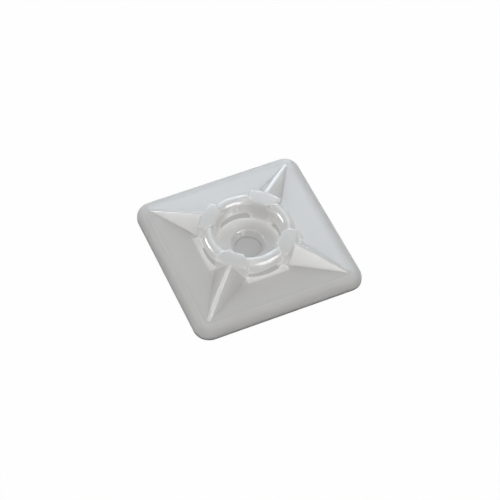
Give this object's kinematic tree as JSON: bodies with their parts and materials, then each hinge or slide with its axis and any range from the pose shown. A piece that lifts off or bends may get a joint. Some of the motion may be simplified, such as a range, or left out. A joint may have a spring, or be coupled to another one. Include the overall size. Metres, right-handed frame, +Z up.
{
  "type": "cable tie mount",
  "caption": "Square screw-down cable tie mount with a raised round crown, whose arched bridges let a cable tie pass either way.",
  "frame": {"origin": "centre of the flat underside, on the axis of the screw hole", "axes": "+Z up out of the well, away from the surface the mount is fixed to; X and Y square to the base's sides, along the tie slots"},
  "size_m": [0.028, 0.028, 0.0052],
  "materials": {
    "nylon": "milky translucent natural nylon, semi-gloss as moulded"
  },
  "bodies": {
    "root": {"mount_body": "nylon"}
  },
  "joints": []
}
